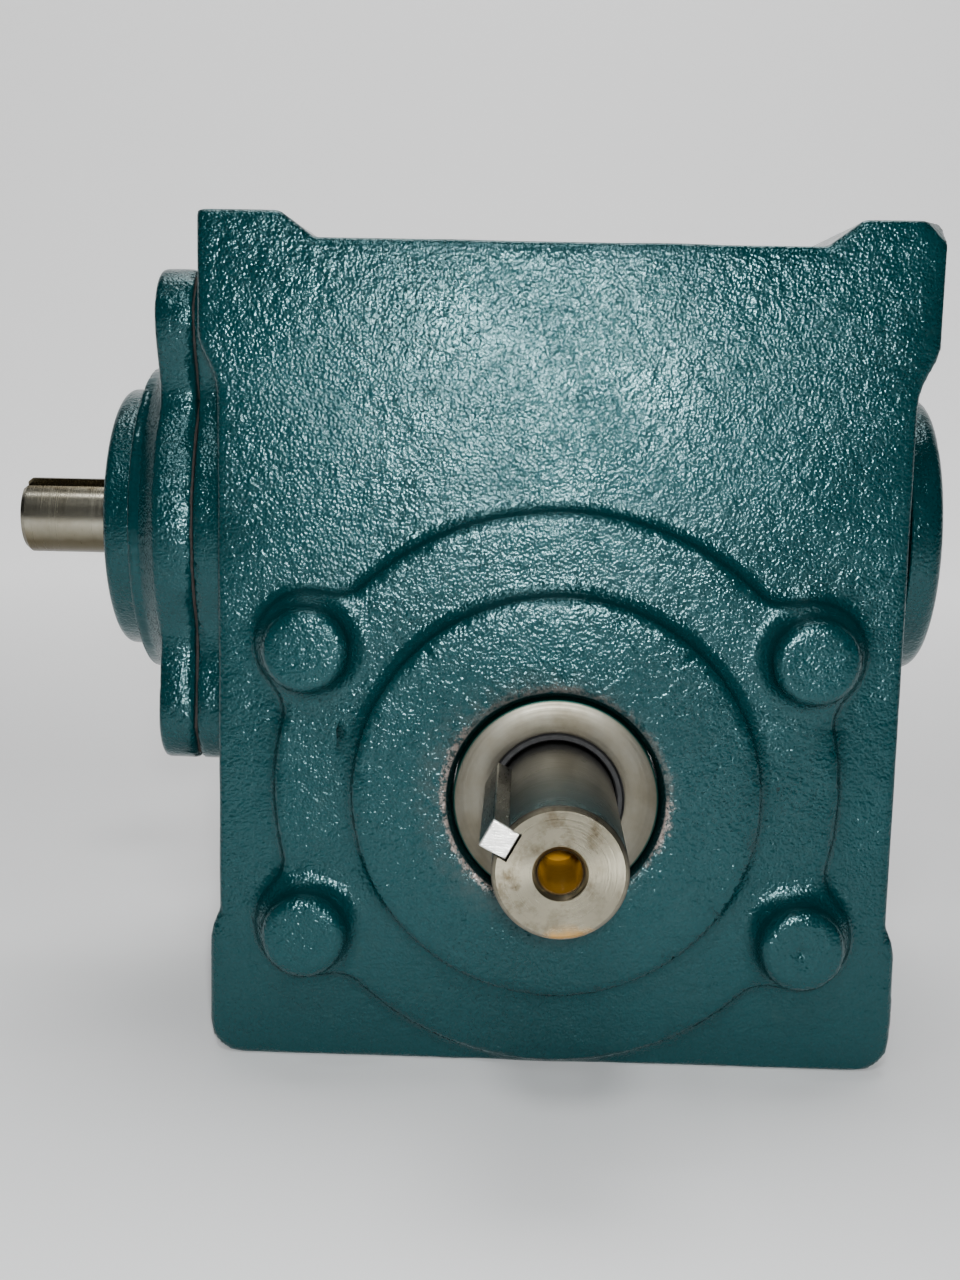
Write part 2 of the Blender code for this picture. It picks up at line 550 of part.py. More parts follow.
# --- output shaft, keys, spacer -------------------------------------------
shaft = lathe("output_shaft", [(0, SHAFT_END + 28.0), (3.6, SHAFT_END + 25.5), (4.62, SHAFT_END + 25.0), (4.62, SHAFT_END + 1.1), (5.65, SHAFT_END),
                               (SHAFT_R - 0.9, SHAFT_END), (SHAFT_R, SHAFT_END + 1.0), (SHAFT_R, -60.4), (14.9, -59.8), (14.9, -39.7), (19.5, -39.7),
                               (19.5, -17.0), (17.0, -17.0), (17.0, 17.5), (14.9, 17.5), (14.9, 56.4), (14.1, 57.2), (0, 57.2)], "Y", OUT, "steel", 32)
boolean(shaft, helper_of("output_keyway", key_box(KEY + 0.4, 10.9, 20.0, SHAFT_END - 2, -77.4, "Y", KEY_ANGLE), OUT), "DIFFERENCE")
boolean(shaft, helper_of("wheel_keyway", key_box(8.4, 13.1, 19.2, -15.4, 15.4, "Y", 90), OUT), "DIFFERENCE")
finish("output_key", to_mesh(key_box(KEY, 11.2, 17.55, SHAFT_END + 0.5, -77.8, "Y", KEY_ANGLE)), OUT, "steel", smooth=False)
finish("wheel_key", to_mesh(key_box(8.0, 13.4, 20.5, -15.0, 15.0, "Y", 90)), OUT, "steel", smooth=False)
lathe("spacer_sleeve", ring(15.2, 19.4, 17.8, 39.7), "Y", OUT, "steel", 24)


# --- output bearings ------------------------------------------------------
def taper_bearing(tag, end, sign):
    """Cup, cone, and rollers in their cage. Distance 0 is the outer end and sign points to the wheel."""
    at = lambda pairs: [(r, end + sign * t) for r, t in pairs]
    lathe(f"output_cup_{tag}", at([(27.5, 15.0), (CUP_OUT, 15.0), (CUP_OUT, 0.3), (24.56, 0.3)]), "Y", OUT, "bearing", 24)
    lathe(f"output_cone_{tag}", at([(15.2, 1.0), (18.9, 1.0), (21.4, 14.6), (23.6, 14.8), (23.6, 17.2), (15.2, 17.2)]), "Y", OUT, "bearing", 24)
    middle = lambda t: 21.61 + 0.1926 * t
    cage = lathe(f"output_rollers_{tag}", at([(middle(1.4) - 0.45, 1.4), (middle(1.4) + 0.45, 1.4), (middle(14.2) + 0.45, 14.2), (middle(14.2) - 0.45, 14.2)]),
                 "Y", OUT, "cage", 20)
    rollers = []
    tilt = math.atan(0.1926)
    for k in range(10):
        bm = spun(disc(2.5, -5.9, 5.9), "Y", 6)
        bmesh.ops.transform(bm, matrix=Matrix.Rotation(-sign * tilt, 4, "Z"), verts=bm.verts)
        bmesh.ops.translate(bm, vec=(middle(7.9), end + sign * 7.9, 0), verts=bm.verts)
        bmesh.ops.transform(bm, matrix=Matrix.Rotation(2 * math.pi * (k + 0.5) / 10, 4, "Y"), verts=bm.verts)
        rollers.append(bm)
    boolean(cage, helper_of(f"rollers_{tag}", joined(*rollers), OUT), "UNION")


taper_bearing("front", -OUT_BEARING_Y, 1)
taper_bearing("rear", OUT_BEARING_Y, -1)

# --- output oil seal ------------------------------------------------------
lathe("output_seal_case", [(16.7, -69.9), (SEAL_R - 0.5, -69.9), (SEAL_R, -69.4), (SEAL_R, -61.4), (23.7, -61.4), (23.7, -68.6), (16.7, -68.6)], "Y", OUT, "steel", 32)
lathe("output_seal_lip", [(14.75, -68.9), (15.2, -69.4), (16.3, -69.4), (16.3, -68.2), (23.3, -68.2), (23.3, -66.6), (17.0, -66.6), (15.6, -62.4), (14.85, -62.9)],
      "Y", OUT, "rubber", 24)
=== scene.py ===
"""Looks of the worm gearbox: detailed castings from distance fields, turned parts, procedural materials, lights and camera."""

import math

import bmesh
import bpy
import numpy as np
import openvdb
from mathutils import Matrix, Vector


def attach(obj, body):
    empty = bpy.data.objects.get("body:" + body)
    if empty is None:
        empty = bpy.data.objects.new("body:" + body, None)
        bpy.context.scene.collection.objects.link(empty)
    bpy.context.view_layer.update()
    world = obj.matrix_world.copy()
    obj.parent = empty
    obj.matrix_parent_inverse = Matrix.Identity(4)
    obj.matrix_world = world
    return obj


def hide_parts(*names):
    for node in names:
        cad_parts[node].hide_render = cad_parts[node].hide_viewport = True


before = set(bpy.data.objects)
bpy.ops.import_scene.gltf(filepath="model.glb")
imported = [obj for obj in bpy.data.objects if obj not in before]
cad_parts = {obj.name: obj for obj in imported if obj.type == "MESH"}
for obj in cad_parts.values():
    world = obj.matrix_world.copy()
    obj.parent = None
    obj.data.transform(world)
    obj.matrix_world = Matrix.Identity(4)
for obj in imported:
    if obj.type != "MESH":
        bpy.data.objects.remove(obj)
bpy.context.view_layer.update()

MM = 0.001
OUT_Z, CENTRE = 71.1, 60.325
WORM_Z = OUT_Z + CENTRE
SPOTS = [(sx * 60.8, sz * 35.4) for sx in (-1, 1) for sz in (-1, 1)]
FLANGE_SPOTS = [(sy * 30.0, sz * 51.0 + 2.4) for sy in (-1, 1) for sz in (-1, 1)]
F = np.float32


# ------------------------------------------------------------------ fields
def circle(a, b, r, ca=0.0, cb=0.0):
    return np.sqrt((a - ca) ** 2 + (b - cb) ** 2) - r


def fillet(a, b, r):
    """Union of two fields with a concave fillet of radius r between them."""
    return np.maximum(np.minimum(a, b), r) - np.sqrt(np.maximum(r - a, 0) ** 2 + np.maximum(r - b, 0) ** 2)


def rounded(flat, along, r):
    """Extrusion of a flat field with edges rounded to radius r."""
    u, v = flat + r, along + r
    return np.minimum(np.maximum(u, v), 0) + np.sqrt(np.maximum(u, 0) ** 2 + np.maximum(v, 0) ** 2) - r


def slab(t, low, high):
    return np.maximum(low - t, t - high)


def polygon(a, b, points):
    """Signed distance to a closed polygon, on the grid a by b."""
    best = np.full(np.broadcast(a, b).shape, 1e9)
    inside = np.zeros(best.shape, bool)
    n = len(points)
    for i in range(n):
        (x0, y0), (x1, y1) = points[i], points[(i + 1) % n]
        ex, ey = x1 - x0, y1 - y0
        wx, wy = a - x0, b - y0
        t = np.clip((wx * ex + wy * ey) / (ex * ex + ey * ey), 0, 1)
        best = np.minimum(best, (wx - ex * t) ** 2 + (wy - ey * t) ** 2)
        crosses = (b >= min(y0, y1)) & (b < max(y0, y1))
        if y0 != y1:
            inside ^= crosses & (a < x0 + (b - y0) * ex / ey)
    return np.where(inside, -1, 1) * np.sqrt(best)


def lattice(shape, step, cell, seed):
    """Smooth noise from -1 to 1 on a grid, with features of about cell millimetres."""
    rng = np.random.RandomState(seed)
    counts = [int(s * step / cell) + 3 for s in shape]
    field = rng.uniform(-1, 1, counts)
    for axis, s in enumerate(shape):
        t = np.arange(s) * step / cell
        i = t.astype(int)
        f = t - i
        f = f * f * (3 - 2 * f)
        view = [1, 1, 1]
        view[axis] = s
        f = f.reshape(view)
        field = np.take(field, i, axis) * (1 - f) + np.take(field, i + 1, axis) * f
    return field.astype(F)


class Grid:
    def __init__(self, low, high, step):
        self.low, self.step = low, step
        axes = [np.arange(int((h - l) / step) + 1) * step + l for l, h in zip(low, high)]
        self.shape = tuple(len(a) for a in axes)
        self.x = axes[0].astype(F)[:, None, None]
        self.y = axes[1].astype(F)[None, :, None]
        self.z = axes[2].astype(F)[None, None, :]

    def mesh(self, name, field, adaptivity=0.0):
        """The zero surface of a field, as an object in metres."""
        grid = openvdb.FloatGrid()
        grid.background = 3.0 * self.step
        grid.copyFromArray(np.clip(field, -3 * self.step, 3 * self.step).astype(F))
        points, triangles, quads = grid.convertToPolygons(isovalue=0.0, adaptivity=adaptivity)
        points = points * self.step + np.array(self.low)
        faces = [tuple(int(v) for v in f) for f in triangles] + [tuple(int(v) for v in f) for f in quads]
        mesh = bpy.data.meshes.new(name)
        mesh.from_pydata((points * MM).tolist(), [], faces)
        bm = bmesh.new()
        bm.from_mesh(mesh)
        if bm.calc_volume(signed=True) < 0:
            bmesh.ops.reverse_faces(bm, faces=bm.faces)
        bm.to_mesh(mesh)
        bm.free()
        mesh.validate()
        mesh.shade_smooth()
        obj = bpy.data.objects.new(name, mesh)
        bpy.context.scene.collection.objects.link(obj)
        return obj


# --------------------------------------------------------------- materials
class Nodes:
    """Small helper for building a material's nodes."""

    def __init__(self, name):
        self.material = bpy.data.materials.new(name)
        self.material.use_nodes = True
        self.tree = self.material.node_tree
        self.shader = self.tree.nodes["Principled BSDF"]
        self.where = self.add("ShaderNodeTexCoord").outputs["Object"]

    def add(self, kind, **settings):
        node = self.tree.nodes.new(kind)
        for key, value in settings.items():
            setattr(node, key, value)
        return node

    def put(self, socket, value):
        if isinstance(value, bpy.types.NodeSocket):
            self.tree.links.new(value, socket)
        else:
            socket.default_value = value

    def noise(self, scale, detail=2.0, rough=0.5, at=None, distortion=0.0):
        node = self.add("ShaderNodeTexNoise")
        self.put(node.inputs["Vector"], at or self.where)
        node.inputs["Scale"].default_value = scale
        node.inputs["Detail"].default_value = detail
        node.inputs["Roughness"].default_value = rough
        node.inputs["Distortion"].default_value = distortion
        return node.outputs["Fac"]

    def cells(self, scale, smooth=0.6, at=None):
        node = self.add("ShaderNodeTexVoronoi", feature="SMOOTH_F1")
        self.put(node.inputs["Vector"], at or self.where)
        node.inputs["Scale"].default_value = scale
        node.inputs["Smoothness"].default_value = smooth
        return node.outputs["Distance"]

    def math(self, operation, a, b=0.5, c=None, clamp=False):
        node = self.add("ShaderNodeMath", operation=operation, use_clamp=clamp)
        self.put(node.inputs[0], a)
        self.put(node.inputs[1], b)
        if c is not None:
            self.put(node.inputs[2], c)
        return node.outputs[0]

    def span(self, value, low, high, out_low=0.0, out_high=1.0):
        node = self.add("ShaderNodeMapRange")
        self.put(node.inputs["Value"], value)
        for key, number in (("From Min", low), ("From Max", high), ("To Min", out_low), ("To Max", out_high)):
            node.inputs[key].default_value = number
        return node.outputs["Result"]

    def mix(self, share, a, b):
        node = self.add("ShaderNodeMix", data_type="RGBA")
        self.put(node.inputs[0], share)
        for socket, value in ((node.inputs[6], a), (node.inputs[7], b)):
            self.put(socket, value if isinstance(value, bpy.types.NodeSocket) else (*value, 1.0))
        return node.outputs[2]

    def axes(self, at=None):
        node = self.add("ShaderNodeSeparateXYZ")
        self.put(node.inputs[0], at or self.where)
        return node.outputs

    def radius(self, a, b, ca=0.0, cb=0.0):
        """Distance from an axis through (ca, cb), from two coordinates."""
        da, db = self.math("SUBTRACT", a, ca), self.math("SUBTRACT", b, cb)
        return self.math("SQRT", self.math("ADD", self.math("MULTIPLY", da, da), self.math("MULTIPLY", db, db)))

    def bump(self, height, distance, strength=1.0, after=None):
        node = self.add("ShaderNodeBump")
        node.inputs["Distance"].default_value = distance
        self.put(node.inputs["Strength"], strength)
        self.put(node.inputs["Height"], height)
        if after is not None:
            self.put(node.inputs["Normal"], after)
        return node.outputs["Normal"]

    def finish(self, **inputs):
        for key, value in inputs.items():
            socket = self.shader.inputs[key.replace("_", " ")]
            self.put(socket, (*value, 1.0) if isinstance(value, tuple) and len(value) == 3 else value)
        return self.material


def cast_enamel(name, wear_and_bore_shade=False, smooth_band=False, strength=1.0):
    """Glossy teal enamel over rough sand-cast iron."""
    n = Nodes(name)
    x, y, z = n.axes()
    broad = n.noise(22.0, 3.0, 0.55)
    fine = n.noise(1350.0, 3.0, 0.55)
    grain = n.cells(1600.0, 0.75)
    pits = n.cells(900.0, 0.5)
    waves = n.noise(310.0, 2.0, 0.5)
    height = n.math("ADD", n.math("MULTIPLY", fine, 0.6), n.math("MULTIPLY", grain, 0.55))
    height = n.math("ADD", height, n.math("MULTIPLY", pits, 0.35))
    amount = n.span(n.noise(45.0, 2.0), 0.35, 0.65, 0.6 * strength, 1.0 * strength)
    if smooth_band:
        rough_part = n.span(x, -0.1074, -0.1068)
        amount = n.math("MULTIPLY", amount, n.span(rough_part, 0, 1, 0.03, 1.0))
    coarse = n.bump(waves, 0.0006, 0.45)
    normal = n.bump(height, 0.00026, amount, coarse)
    colour = n.mix(n.span(broad, 0.3, 0.7), (0.0, 0.0165, 0.0185), (0.0002, 0.024, 0.027))
    colour = n.mix(n.span(fine, 0.35, 0.75, 0.0, 0.6), colour, (0.0004, 0.034, 0.040))
    dusty = n.span(n.noise(75.0, 4.0, 0.7), 0.62, 0.8, 0.0, 0.35)
    colour = n.mix(dusty, colour, (0.022, 0.045, 0.040))
    rough = n.span(n.noise(150.0, 3.0, 0.6), 0.3, 0.7, 0.12, 0.21)
    metal = 0.0
    if wear_and_bore_shade:
        # Bare brown metal where the paint chipped round the seal bore, mostly left and lower right.
        r = n.radius(x, z, 0.0, OUT_Z * MM)
        ragged = n.math("MULTIPLY", n.math("SUBTRACT", n.noise(520.0, 5.0, 0.75), 0.5), 0.006)
        lean = n.math("MULTIPLY", n.math("SUBTRACT", n.noise(26.0, 1.0), 0.47), 0.006)
        edge = n.math("ADD", n.math("ADD", r, ragged), lean)
        flat = n.span(y, -0.0685, -0.0700)
        # Chips come in patches: most at the left and at the lower right.
        left = n.span(n.math("ADD", x, n.math("MULTIPLY", z, 0.35)), 0.0120, 0.0020)
        right = n.math("MULTIPLY", n.span(x, 0.0215, 0.0245), n.span(z, 0.0740, 0.0700))
        patch = n.math("ADD", n.math("MULTIPLY", n.math("MAXIMUM", left, right), 0.75), 0.2)
        patch = n.math("MULTIPLY", patch, n.span(n.noise(900.0, 3.0, 0.7), 0.40, 0.56))
        chip = n.math("MULTIPLY", n.math("MULTIPLY", n.span(edge, 0.0282, 0.0272), flat), patch)
        chip = n.math("MULTIPLY", chip, n.span(r, 0.0264, 0.0267))
        dust = n.math("MULTIPLY", n.span(n.math("ADD", edge, n.math("MULTIPLY", x, 0.10)), 0.0330, 0.0262, 0.0, 0.35), flat)
        dust = n.math("MULTIPLY", dust, n.span(n.noise(300.0, 4.0, 0.7), 0.38, 0.62))
        # Painted shade: the seal bore's wall and cone mouth towards the front are coloured near black.
        bore = n.math("MULTIPLY", n.span(r, 0.0266, 0.0262), n.span(y, -0.0500, -0.0520))
        colour = n.mix(dust, colour, (0.060, 0.044, 0.034))
        colour = n.mix(chip, colour, (0.30, 0.235, 0.205))
        colour = n.mix(bore, colour, (0.0015, 0.006, 0.006))
        rough = n.math("ADD", rough, n.math("MULTIPLY", n.math("MAXIMUM", chip, dust), 0.2))
        metal = n.math("MULTIPLY", chip, 0.5)
    return n.finish(Base_Color=colour, Roughness=rough, Metallic=metal, Normal=normal, Specular_IOR_Level=0.62, Specular_Tint=(0.50, 0.91, 0.95))


def turned_steel(name, axis, centre, colours, roughness, ring_depth=0.00002, stain=0.5, oily=None, marks=3200.0):
    """Turned steel: fine lines round the axis, and brown staining."""
    n = Nodes(name)
    c = n.axes()
    order = {"X": (0, 1, 2), "Y": (1, 0, 2), "Z": (2, 0, 1)}[axis]
    r = n.radius(c[order[1]], c[order[2]], centre[0] * MM, centre[1] * MM)
    joined = n.add("ShaderNodeCombineXYZ")
    n.put(joined.inputs[0], c[order[0]])
    n.put(joined.inputs[1], r)
    lines = n.noise(marks, 2.0, 0.6, at=joined.outputs[0])
    wide = n.noise(700.0, 2.0, 0.6, at=joined.outputs[0])
    patches = n.noise(60.0, 5.0, 0.65)
    colour = n.mix(n.span(patches, 0.35, 0.7, 0.0, stain), colours[0], colours[1])
    colour = n.mix(n.span(lines, 0.3, 0.7, 0.0, 0.25), colour, tuple(v * 0.6 for v in colours[0]))
    rough = n.span(n.math("ADD", lines, patches), 0.7, 1.3, roughness * 0.8, roughness * 1.25)
    if oily:
        dark = n.span(c[order[0]], oily[0], oily[1])
        colour = n.mix(n.math("MULTIPLY", dark, 0.82), colour, (0.035, 0.036, 0.032))
        rough = n.math("SUBTRACT", rough, n.math("MULTIPLY", dark, 0.08))
    height = n.math("ADD", lines, n.math("MULTIPLY", wide, 0.8))
    return n, colour, rough, n.bump(height, ring_depth, 1.0)


def lathe_marks(n, axis):
    """Stretched reflections along the turning marks round an axis through the middle of the object."""
    node = n.add("ShaderNodeTangent", direction_type="RADIAL", axis=axis)
    n.tree.links.new(node.outputs[0], n.shader.inputs["Tangent"])
    n.shader.inputs["Anisotropic"].default_value = 0.75


def plain(name, colour, metallic, roughness, scale=400.0, depth=0.00003, spread=0.25):
    """A finish with a little variation in colour, gloss and surface."""
    n = Nodes(name)
    value = n.noise(scale, 4.0, 0.6)
    broad = n.noise(scale / 8, 3.0, 0.6)
    shade = n.mix(n.span(broad, 0.35, 0.7, 0.0, 1.0), colour, tuple(v * (1 - spread) for v in colour))
    rough = n.span(value, 0.3, 0.7, roughness * 0.8, roughness * 1.2)
    return n.finish(Base_Color=shade, Metallic=metallic, Roughness=rough, Normal=n.bump(value, depth, 1.0))


# ------------------------------------------------------------------ shapes
def turned(name, profile, axis, centre, steps=128):
    """A body of revolution from (radius, height) points in millimetres, in the row frame."""
    bm = bmesh.new()
    place = {"X": lambda r, h: (h, r, 0), "Y": lambda r, h: (r, h, 0), "Z": lambda r, h: (r, 0, h)}[axis]
    direction = {"X": (1, 0, 0), "Y": (0, 1, 0), "Z": (0, 0, 1)}[axis]
    verts = [bm.verts.new(place(r, h)) for r, h in profile]
    edges = [bm.edges.new(p) for p in zip(verts, verts[1:])]
    if all(r > 0 for r, _ in profile):
        edges.append(bm.edges.new((verts[-1], verts[0])))
    bmesh.ops.spin(bm, geom=verts + edges, axis=direction, cent=(0, 0, 0), steps=steps, angle=2 * math.pi, use_merge=False, use_duplicate=False)
    bmesh.ops.remove_doubles(bm, verts=bm.verts, dist=2e-3)
    bmesh.ops.translate(bm, vec=centre, verts=bm.verts)
    return solid(name, bm)


def solid(name, bm, angle=30.0):
    bmesh.ops.recalc_face_normals(bm, faces=bm.faces)
    bmesh.ops.scale(bm, vec=(MM, MM, MM), verts=bm.verts)
    mesh = bpy.data.meshes.new(name)
    bm.to_mesh(mesh)
    bm.free()
    mesh.shade_smooth()
    mesh.set_sharp_from_angle(angle=math.radians(angle))
    obj = bpy.data.objects.new(name, mesh)
    bpy.context.scene.collection.objects.link(obj)
    return obj


def combine(target, tool, kind="DIFFERENCE", angle=30.0):
    """Boolean of two objects, kept in the target. The tool is removed."""
    modifier = target.modifiers.new("combine", "BOOLEAN")
    modifier.operation, modifier.solver, modifier.object = kind, "EXACT", tool
    graph = bpy.context.evaluated_depsgraph_get()
    graph.update()
    made = bpy.data.meshes.new_from_object(target.evaluated_get(graph))
    target.modifiers.clear()
    target.data = made
    made.shade_smooth()
    made.set_sharp_from_angle(angle=math.radians(angle))
    bpy.data.objects.remove(tool)
    return target


def bevelled(obj, width, segments=2, angle=40.0):
    modifier = obj.modifiers.new("bevel", "BEVEL")
    modifier.width, modifier.segments, modifier.limit_method = width * MM, segments, "ANGLE"
    modifier.angle_limit = math.radians(angle)
    modifier.harden_normals = False
    return obj


def bar(name, outline, axis, low, high):
    place = {"X": lambda a, b: (low, a, b), "Y": lambda a, b: (a, low, b), "Z": lambda a, b: (a, b, low)}[axis]
    direction = {"X": Vector((1, 0, 0)), "Y": Vector((0, 1, 0)), "Z": Vector((0, 0, 1))}[axis]
    bm = bmesh.new()
    face = bm.faces.new([bm.verts.new(place(a, b)) for a, b in outline])
    made = bmesh.ops.extrude_face_region(bm, geom=[face])
    bmesh.ops.translate(bm, vec=direction * (high - low), verts=[v for v in made["geom"] if isinstance(v, bmesh.types.BMVert)])
    return bm


def key_shape(name, width, low, high, along0, along1, axis, turn, centre):
    bm = bar(name, [(low, -width / 2), (high, -width / 2), (high, width / 2), (low, width / 2)], axis, along0, along1)
    spin = Matrix.Rotation(math.radians(-turn if axis == "Y" else turn), 4, axis)
    bmesh.ops.transform(bm, matrix=spin, verts=bm.verts)
    bmesh.ops.translate(bm, vec=centre, verts=bm.verts)
    return solid(name, bm)


def hexagon(across, ca=0.0, cb=0.0, turn=0.0):
    r = across / math.sqrt(3)
    return [(ca + r * math.cos(math.radians(60 * k + turn)), cb + r * math.sin(math.radians(60 * k + turn))) for k in range(6)]


def dress(obj, material, body, *nodes, slot=None):
    obj.data.materials.clear()
    obj.data.materials.append(material)
    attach(obj, body)
    if nodes:
        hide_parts(*nodes)
    return obj


# ---------------------------------------------------------- housing casting
STEP = 1.0
right = [
    (77.5, 0), (80.8, 0.7), (83.6, 2.4), (85.4, 5.2), (86.0, 8.5), (86.0, 30.5),
    (85.2, 34.0), (83.5, 38.0), (83.5, 166.0), (84.1, 170.5), (85.6, 174.0),
    (87.4, 177.6), (88.0, 180.0), (88.0, 209.5), (68.6, 209.5), (60.4, 203.4),
]
outline = right + [(-x, z) for x, z in reversed(right)]


def housing_field(g):
    x, y, z = g.x, g.y, g.z
    body2 = polygon(g.x[:, 0, :], g.z[0, 0, :][None, :], outline)[:, None, :].astype(F)
    wobble = 0.16 * lattice(g.shape, g.step, 17.0, 3) + 0.07 * lattice(g.shape, g.step, 6.0, 5)
    body = rounded(body2, slab(y, -60, 60), 1.1)
    ring2 = circle(x, z, 69.1, 0, OUT_Z)
    for cx, cz in SPOTS:
        ring2 = fillet(ring2, circle(x, z, 12.8, cx, OUT_Z + cz), 7.0)
    body = fillet(body, rounded(ring2, slab(y, -64, -50), 0.9), 2.6)
    body = fillet(body, rounded(circle(x, z, 49.3, 0, OUT_Z), slab(y, -70.6, -50), 0.7), 3.2)
    for cx, cz in SPOTS:
        body = fillet(body, rounded(circle(x, z, 10.4, cx, OUT_Z + cz), slab(y, -73.5, -50), 2.6), 4.6)
    pad2 = circle(y, z, 46.5, 0, WORM_Z)
    for cy, cz in FLANGE_SPOTS:
        pad2 = fillet(pad2, circle(y, z, 12.4, cy, WORM_Z + cz), 20.0)
    body = fillet(body, rounded(pad2, slab(x, -92.2, -70), 0.5), 3.0)
    body = np.minimum(body, np.maximum(pad2 + 0.15, slab(x, -92.5, -84)))
    body = fillet(body, rounded(circle(y, z, 36.5, 0, WORM_Z), slab(x, 60, 89), 0.4), 3.0)
    body = body + wobble
    # A chip off the top right corner, and a dimple in the lower right boss.
    body = np.maximum(body, (0.62 * (x - 88) - 0.45 * (y + 60) + 0.64 * (z - 209.5)) + 3.6)
    body = np.maximum(body, 1.7 - np.sqrt((x - 60.2) ** 2 + (y + 74.4) ** 2 + (z - OUT_Z + 35.4) ** 2))
    # Gear chamber with solid corners, inner bearing bosses and bores.
    corners = (np.abs(x) + np.abs(y + 1) - 101.0) * 0.7071
    chamber = np.maximum(np.maximum(np.abs(x) - 74, np.abs(y + 1) - 49), np.maximum(corners, slab(z, 10, 193)))
    inner = np.minimum(np.maximum(circle(x, z, 42, 0, OUT_Z), slab(y, -52, -41)), np.maximum(circle(y, z, 33, 0, WORM_Z), slab(x, 57.4, 80)))
    body = np.minimum(np.maximum(body, -chamber), inner)
    cuts = [
        np.maximum(circle(x, z, 62, 0, OUT_Z), slab(y, 40, 70)),
        np.maximum(circle(x, z, 31.1, 0, OUT_Z), slab(y, -57.6, -30)),
        np.maximum(np.maximum(circle(x, z, 25.1, 0, OUT_Z), (circle(x, z, 26.9, 0, OUT_Z) + (y + 70.6)) * 0.7071), slab(y, -80, -50)),
        np.maximum(circle(y, z, 35, 0, WORM_Z), slab(x, -100, -66)),
        np.maximum(circle(y, z, 20.6, 0, WORM_Z), slab(x, 50, 72)),
        np.maximum(circle(y, z, 26.2, 0, WORM_Z), slab(x, 69.6, 110)),
    ]
    for cx, cz in SPOTS:
        cuts.append(np.maximum(circle(x, z, 4.2, cx, OUT_Z + cz), slab(y, 50, 70)))
    for cy, cz in FLANGE_SPOTS:
        cuts.append(np.maximum(circle(y, z, 4.2, cy, WORM_Z + cz), slab(x, -96, -79)))
    for sx in (-1, 1):
        for sy in (-1, 1):
            cuts.append(np.maximum(circle(x, y, 4.4, sx * 72, sy * 44), slab(z, -5, 17)))
    for k in range(4):
        a = math.radians(45 + 90 * k)
        cuts.append(np.maximum(circle(y, z, 2.6, 31.1 * math.cos(a), WORM_Z + 31.1 * math.sin(a)), slab(x, 77, 110)))
    cuts.append(np.maximum(circle(x, y, 9.3), slab(z, 185, 215)))
    cuts.append(np.maximum(circle(y, z, 9.3, 8, 66), slab(x, 65, 95)))
    cuts.append(np.maximum(circle(y, z, 9.3, 0, 22), slab(x, 65, 95)))
    # The seal bore is a cone at its mouth, so its field is the union of the bore and the cone.
    cuts[2] = np.minimum(
        np.maximum(circle(x, z, 25.1, 0, OUT_Z), slab(y, -80, -50)),
        np.maximum((circle(x, z, 26.9, 0, OUT_Z) + (y + 70.6)) * 0.7071, slab(y, -80, -60)),
    )
    for cut in cuts:
        body = np.maximum(body, -cut)
    # The base stays flat.
    return np.maximum(body, -z + 0.02)


grid = Grid((-96, -80, -4), (94, 66, 216), STEP)
housing = grid.mesh("housing_casting", housing_field(grid), 0.02)
ENAMEL = cast_enamel("enamel_housing", wear_and_bore_shade=True)
dress(housing, ENAMEL, "case", "housing", slot="enamel")

# ------------------------------------------------------------ left carrier
grid = Grid((-113, -50, WORM_Z - 70), (-72, 50, WORM_Z + 70), 0.8)
x, y, z = grid.x, grid.y, grid.z
plate = circle(y, z, 46.5, 0, WORM_Z)
for cy, cz in FLANGE_SPOTS:
    plate = fillet(plate, circle(y, z, 12.4, cy, WORM_Z + cz), 20.0)
field = rounded(plate, slab(x, -102.5, -93.4), 1.5)
field = np.minimum(field, np.maximum(plate + 0.15, slab(x, -100.5, -93.1)))
cone = (circle(y, z, 46.0, 0, WORM_Z) + np.maximum(-102.5 - x, 0) * 1.0) * 0.71
field = fillet(field, rounded(cone, slab(x, -107.0, -94), 0.6), 1.5)
field = field + 0.16 * lattice(grid.shape, grid.step, 14.0, 8) + 0.07 * lattice(grid.shape, grid.step, 5.0, 9)
field = np.minimum(field, rounded(circle(y, z, 41.4, 0, WORM_Z), slab(x, -110.3, -95), 0.5))
field = np.minimum(field, np.maximum(circle(y, z, 34.7, 0, WORM_Z), slab(x, -96, -76)))
field = np.maximum(field, -np.maximum(circle(y, z, 26.2, 0, WORM_Z), slab(x, -120, -88.2)))
field = np.maximum(field, -np.maximum(circle(y, z, 21.8, 0, WORM_Z), slab(x, -90, -70)))
for cy, cz in FLANGE_SPOTS:
    field = np.maximum(field, -np.maximum(circle(y, z, 7.0, cy, WORM_Z + cz), slab(x, -120, -96.6)))
    field = np.maximum(field, -np.maximum(circle(y, z, 4.3, cy, WORM_Z + cz), slab(x, -99, -85)))
carrier = grid.mesh("carrier_casting", field, 0.02)
dress(carrier, cast_enamel("enamel_carrier", smooth_band=True), "case", "input_carrier", slot="enamel")

# -------------------------------------------------------------- rear cover
grid = Grid((-80, 36, OUT_Z - 75), (80, 79, OUT_Z + 75), 1.0)
x, y, z = grid.x, grid.y, grid.z
plate = circle(x, z, 69.1, 0, OUT_Z)
for cx, cz in SPOTS:
    plate = fillet(plate, circle(x, z, 12.8, cx, OUT_Z + cz), 7.0)
field = rounded(plate, slab(y, 61, 70), 1.2)
field = fillet(field, rounded(circle(x, z, 37, 0, OUT_Z), slab(y, 62, 74), 1.6), 3.0)
field = field + 0.14 * lattice(grid.shape, grid.step, 14.0, 18) + 0.06 * lattice(grid.shape, grid.step, 5.0, 19)
field = np.minimum(field, np.maximum(circle(x, z, 61.7, 0, OUT_Z), slab(y, 49, 66)))
field = np.minimum(field, np.maximum(circle(x, z, 42, 0, OUT_Z), slab(y, 41.5, 60)))
field = np.maximum(field, -np.maximum(circle(x, z, 31.1, 0, OUT_Z), slab(y, 30, 57.6)))
